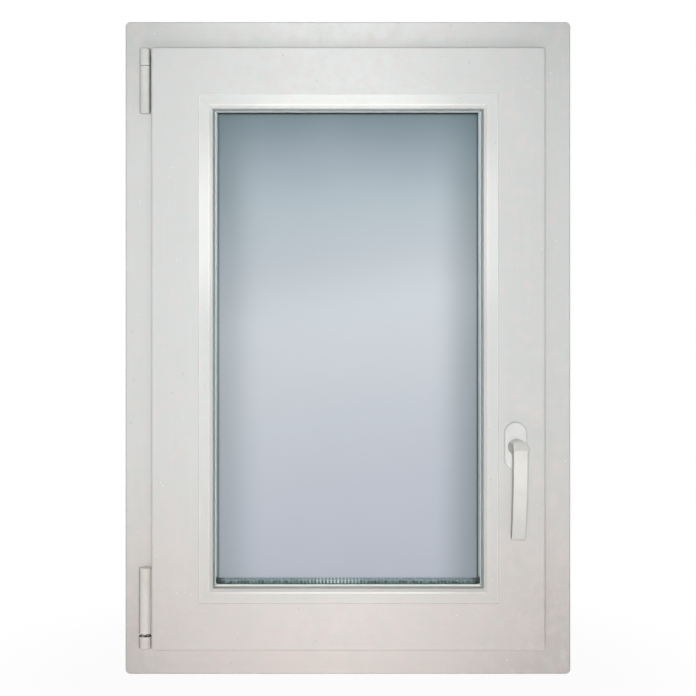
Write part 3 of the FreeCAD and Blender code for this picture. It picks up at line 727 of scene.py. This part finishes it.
# Setting blocks: two packers of hard blue plastic.
# They carry the glass unit's weight in the rebate.
packer, place = new_finish("packer_plastic")
speckle = place.noise(300.0, 3.0)
coat(
    packer,
    Base_Color=speckle.rise(0.3, 0.7).blend(paint(92, 106, 150), paint(112, 126, 168)),
    Roughness=0.5 + speckle * 0.2,
    Normal=speckle.bump(0.2, 0.0003),
)
wear(packer, "setting_block_left", "setting_block_right")

# Glazing beads: four mitred PVC strips clipped into the sash from the room, with a round nose.
# They are the cleanest of the profiles, and painted light brightens the seam against the sash, a line on
# the nose, the middle of the head and a length of each upright.
bead_nose = 0.1105
seam_inset = 0.097
sheen_height = 0.585


def bead_painted_light(place, colour):
    """Painted light: a sheen on a length of each upright and the head's middle, a highlight along the nose
    and light over the seam.
    """
    x, _, z = place.axes()
    from_side, from_level = insets(place)
    from_edge = from_side.least(from_level)
    lying = (from_side - from_level).rise(0.0, 0.004)
    # Painted light on the middle of the head, and a painted sheen on a length of each upright.
    head = lying * z.rise(height * 0.7, height * 0.75) * abs(x).fall(0.05, 0.16)
    painted_sheen = (1 - lying) * abs(z - sheen_height).fall(0.03, 0.14) * (0.3 + 0.25 * x.fall(-0.1, 0.1))
    colour = (head * 0.40 + painted_sheen).blend(colour, paint(250, 251, 249))
    # Painted highlight along the nose.
    lit = lying * (0.2 + 0.6 * abs(x).fall(0.09, 0.165))
    shine = abs(from_edge - bead_nose).fall(0.0003, 0.0014) * (0.12 + lit + painted_sheen)
    colour = shine.blend(colour, paint(255, 255, 250))
    # Painted light over the seam's shadow line.
    seam = (from_edge - seam_inset).fall(0.0003, 0.0009)
    return (seam * 0.9).blend(colour, paint(255, 255, 252))


bead_pvc = white_pvc("bead_pvc", paint(229, 231, 230), paint(219, 213, 208), 0.2, bead_painted_light)
wear(bead_pvc, "bead_bottom", "bead_top", "bead_hinge_side", "bead_lock_side")

# Glazing gaskets: soft strips moulded on to the bead and the sash's outer leg that press on the glass.
# The foot is painted grey-green shade and the lip on the glass a pale painted highlight, but along the sill
# the foot is painted pale light and the lip dark shade.
bead_edge = 0.115
lip_start = 0.0019
lip_end = lip_start + 0.0004
lip_strip, place = new_finish("glazing_rubber")
_, _, z = place.axes()
from_side, from_level = insets(place)
reach = from_side.least(from_level) - bead_edge
bloom = place.noise(80.0, 3.0)
lip = reach.rise(lip_start, lip_end)
# Painted shade on the foot and a painted highlight on the lip, swapped along the sill.
foot_colour = bloom.rise(0.35, 0.7).blend(paint(138, 144, 141), paint(154, 160, 157))
on_sill = (from_side - from_level).rise(0.0, 0.004) * z.fall(height * 0.3, height * 0.4)
foot_colour = on_sill.blend(foot_colour, paint(236, 240, 232))
lip_colour = bloom.rise(0.35, 0.7).blend(paint(224, 238, 240), paint(206, 220, 221))
sill_lip = bloom.rise(0.3, 0.7).blend(paint(72, 88, 86), paint(104, 118, 112))
lip_colour = on_sill.blend(lip_colour, sill_lip)
coat(
    lip_strip,
    Base_Color=lip.blend(foot_colour, lip_colour),
    Roughness=0.5 + bloom * 0.2,
    Specular_IOR_Level=0.35,
    Normal=place.noise(800.0, 2.0).bump(0.2, 0.0002),
)
wear(lip_strip, "bead_seal", "glazing_seal")

# Handle: a die-cast neck and lever that turn in a rosette, all powder coated white.
# The coat has a slight orange peel, and painted shade greys the lever towards its foot and darkens its left
# flank; the spindle behind is plated steel.


def powder_coat(name, body, shade, shaded_at=None):
    """White powder coat on a casting; the last argument gives a lever's foot and flank, which painted shade
    greys.
    """
    material, place = new_finish(name)
    peel = place.noise(420.0, 2.0)
    hand = place.noise(38.0, 3.0)
    colour = hand.rise(0.4, 0.72).blend(body, shade)
    colour = (place.noise(1200.0, 1.0).rise(0.64, 0.72) * 0.2).blend(colour, paint(190, 188, 182))
    if shaded_at is not None:
        foot, flank_x = shaded_at
        x, _, z = place.axes()
        # Painted shade towards the lever's foot and on its left flank.
        colour = (z.fall(foot, foot + 0.09) * 0.45).blend(colour, paint(188, 187, 185))
        flank = (flank_x - x).rise(-0.0002, 0.0006) * (0.6 + z.fall(foot, foot + 0.05) * 0.3)
        colour = flank.blend(colour, paint(74, 72, 68))
    coat(
        material,
        Base_Color=colour,
        Roughness=0.24 + hand * 0.16,
        Specular_IOR_Level=0.5,
        Coat_Weight=0.15,
        Coat_Roughness=0.2,
        Normal=peel.bump(0.15, 0.0003),
    )
    return material


def loft(mesh, rings):
    """Closed skin over rings of the same count, with a flat cap at both ends."""
    for low, high in zip(rings, rings[1:]):
        band(mesh, low, high)
    mesh.faces.new(rings[0])
    mesh.faces.new(rings[-1])


def oblong(mesh, centre, across, up, half_wide, half_thick, corner, steps=5):
    """Ring of a rounded oblong about a centre."""
    ring = []
    for quarter, (side, top) in enumerate(((1, 1), (-1, 1), (-1, -1), (1, -1))):
        for step in range(steps + 1):
            turn = math.pi / 2 * (quarter + step / steps)
            wide = side * (half_wide - corner) + corner * math.cos(turn)
            thick = top * (half_thick - corner) + corner * math.sin(turn)
            ring.append(mesh.verts.new(centre + across * wide + up * thick))
    return ring


grip_low, grip_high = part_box("handle_grip")
spindle_low, spindle_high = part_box("handle_spindle")
pivot = (spindle_low + spindle_high) / 2
lever_wide = 0.0091
flank_inset = 0.0008
grip_shaded_at = (grip_low.z, pivot.x - lever_wide + flank_inset)
grip_coat = powder_coat("grip_coat", paint(221, 220, 215), paint(213, 212, 207), grip_shaded_at)
rosette_coat = powder_coat("rosette_coat", paint(222, 223, 221), paint(214, 215, 212))
grip_mesh = bmesh.new()

# Handle neck: a round boss on the rosette, about the handle's pivot.
# Its front slopes back above and below the pivot, so that a half disc shows over the lever's top.
neck_radius = 0.0108
neck_chamfer = 0.0008
neck_front = -0.1098
neck_slope = 0.8
neck_segments = 48
level = Vector((1, 0, 0))
neck_back = Vector((pivot.x, grip_high.y, pivot.z))
neck_root = circle(grip_mesh, neck_back, level, plumb, neck_radius, neck_segments)
neck_rim = circle(grip_mesh, pivot, level, plumb, neck_radius, neck_segments)
neck_face = circle(grip_mesh, pivot, level, plumb, neck_radius - neck_chamfer, neck_segments)
for ring, set_back in ((neck_rim, neck_chamfer), (neck_face, 0.0)):
    for point in ring:
        point.co.y = neck_front + neck_slope * abs(point.co.z - pivot.z) + set_back
band(grip_mesh, neck_root, neck_rim)
band(grip_mesh, neck_rim, neck_face)
grip_mesh.faces.new(neck_root)
quarter_turn = neck_segments // 4
grip_mesh.faces.new(neck_face[quarter_turn - 1:quarter_turn + 2])
for step in range(1, 2 * quarter_turn - 1):
    right = [neck_face[(quarter_turn - step - shift) % neck_segments] for shift in (0, 1)]
    left = [neck_face[(quarter_turn + step + shift) % neck_segments] for shift in (0, 1)]
    grip_mesh.faces.new((right[0], left[0], left[1], right[1]))
grip_mesh.faces.new(neck_face[3 * quarter_turn - 1:3 * quarter_turn + 2])

# Handle lever: a flat bar with crisp edges that hangs from the neck.
# It has a square top, narrows a little and bows back towards the sash at its foot.
lever_rise = 0.0006
lever_top = pivot.z + lever_rise
lever_foot = 0.1862
lever_depth = -0.1045
lever_sweep = 0.021
lever_bend = 2.5
lever_foot_wide = 0.0089
lever_thick = 0.0069
lever_foot_thick = 0.0052
lever_edge = 0.0012
lever_end = 0.0007
lever_steps = 24
end_steps = 3
drop = lever_top - lever_foot
bar_length = drop - 2 * lever_end
top_stations = []
for step in range(end_steps):
    turn = math.pi / 2 * step / end_steps
    top_stations.append((lever_end * (1 - math.cos(turn)), lever_end * (1 - math.sin(turn))))
bar_stations = [(lever_end + bar_length * step / lever_steps, 0.0) for step in range(lever_steps + 1)]
foot_stations = [(drop - along, inset) for along, inset in reversed(top_stations)]
lever_rings = []
for along, inset in top_stations + bar_stations + foot_stations:
    share = along / drop
    centre = Vector((pivot.x, lever_depth + lever_sweep * share ** lever_bend, lever_top - along))
    slope = Vector((0, lever_bend * lever_sweep * share ** (lever_bend - 1) / drop, -1)).normalized()
    outward = slope.cross(level).normalized()
    half_thick = lever_thick + (lever_foot_thick - lever_thick) * share - inset
    half_wide = lever_wide + (lever_foot_wide - lever_wide) * share - inset
    edge = lever_edge - inset
    lever_rings.append(oblong(grip_mesh, centre, level, outward, half_wide, half_thick, edge))
loft(grip_mesh, lever_rings)
grip_crease = 30.0
grip = add_piece("handle_lever", grip_mesh, grip_coat, "handle", grip_crease)
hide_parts("handle_grip")
wear(rosette_coat, "handle_rosette")
wear(pin_zinc, "handle_spindle")

# Floor: a wide pale studio floor that the window stands on.
# It is white to the eye and keeps the window's soft shadow near it.


def to_eye(start):
    """1 for rays that come from the eye, a mirror or glass, and 0 for spread light."""
    seen = start.node("ShaderNodeLightPath", {}, {}, "Is Camera Ray")
    return seen.most(seen.also("Is Glossy Ray")).most(seen.also("Is Transmission Ray"))


floor_radius = 4.0
floor_segments = 96
floor_white = (0.82, 0.82, 0.82, 1.0)
floor_cream = (0.84, 0.84, 0.83, 1.0)
pure_white = (1.0, 1.0, 1.0, 1.0)
shadow_share = 0.07
shadow_near = 0.25
shadow_far = 0.6
floor_mesh = bmesh.new()
bmesh.ops.create_circle(floor_mesh, cap_ends=True, radius=floor_radius, segments=floor_segments)
floor_data = bpy.data.meshes.new("floor")
floor_mesh.to_mesh(floor_data)
floor_mesh.free()
floor = bpy.data.objects.new("floor", floor_data)
bpy.context.scene.collection.objects.link(floor)
floor_paint, place = new_finish("floor_paint")
x, y, _ = place.axes()
from_window = (x * x + y * y) ** 0.5
coat(
    floor_paint,
    Base_Color=place.noise(3.0, 2.0).blend(floor_white, floor_cream),
    Roughness=0.85,
    Specular_IOR_Level=0.1,
)
tree = floor_paint.node_tree
lit_floor = Field(tree, tree.nodes["Principled BSDF"].outputs["BSDF"])
white = place.node("ShaderNodeEmission", {}, {"Color": pure_white, "Strength": 1.0}, "Emission")
white_share = (1 - shadow_share) + shadow_share * from_window.rise(shadow_near, shadow_far)
floor_shader = (to_eye(place) * white_share).mix(lit_floor, white)
tree.links.new(floor_shader.outlet, tree.nodes["Material Output"].inputs["Surface"])
floor.data.materials.append(floor_paint)

# Studio light: a small panel at the camera that glass neither mirrors nor lets through, and long weak
# panels at the sides and above for thin highlights along the edges.
# Three panels behind light the window's sides and its outdoor face.
lamp_target = Vector((0.0, 0.0, height / 2))
lamps = (
    ("front_panel", Vector((-0.03, -2.0, 0.52)), 0.20, 0.20, 28.0, False, False),
    ("left_panel", Vector((-1.5, -1.5, 0.6)), 0.3, 1.4, 0.2, True, True),
    ("right_panel", Vector((1.5, -1.5, 0.5)), 0.3, 1.4, 0.3, True, True),
    ("top_panel", Vector((0.0, -1.5, 1.9)), 1.2, 0.3, 2.0, True, True),
    ("left_fill", Vector((-1.9, 1.0, 0.9)), 0.8, 1.4, 12.0, True, False),
    ("right_fill", Vector((1.9, 1.0, 0.9)), 0.8, 1.4, 12.0, True, False),
    ("back_panel", Vector((0.5, 2.4, 1.4)), 1.2, 1.2, 20.0, True, False),
)
for lamp_name, spot, wide, tall, power, mirrored, through in lamps:
    panel = bpy.data.lights.new(lamp_name, "AREA")
    panel.shape = "RECTANGLE"
    panel.size = wide
    panel.size_y = tall
    panel.energy = power
    lamp = bpy.data.objects.new(lamp_name, panel)
    lamp.location = spot
    lamp.rotation_euler = (lamp_target - spot).to_track_quat("-Z", "Y").to_euler()
    lamp.visible_glossy = mirrored
    lamp.visible_transmission = through
    bpy.context.scene.collection.objects.link(lamp)

# Room: a white background to the eye that gives the window only a little light from all round.
# Mirrors and glass show it white as well.
room_light = 0.10
world = bpy.data.worlds.new("studio_room")
bpy.context.scene.world = world
world.use_nodes = True
tree = world.node_tree
room = Field(tree)
soft = room.node("ShaderNodeBackground", {}, {"Color": pure_white, "Strength": room_light}, "Background")
white = room.node("ShaderNodeBackground", {}, {"Color": pure_white, "Strength": 1.0}, "Background")
room_shader = to_eye(room).mix(soft, white)
tree.links.new(room_shader.outlet, tree.nodes["World Output"].inputs["Surface"])

# Camera: a little above and left of the window's middle, and square to it.
# The shift brings the window back to the middle of the picture.
camera_data = bpy.data.cameras.new("camera")
camera_data.lens = 75.4
camera_data.sensor_width = 36.0
camera_data.shift_x = 0.0331
camera_data.shift_y = -0.0959
camera = bpy.data.objects.new("camera", camera_data)
camera.location = (-0.03, -1.935, 0.512)
camera.rotation_euler = (math.pi / 2, 0.0, 0.0)
bpy.context.scene.collection.objects.link(camera)
bpy.context.scene.camera = camera
bpy.context.scene.view_settings.view_transform = "Standard"
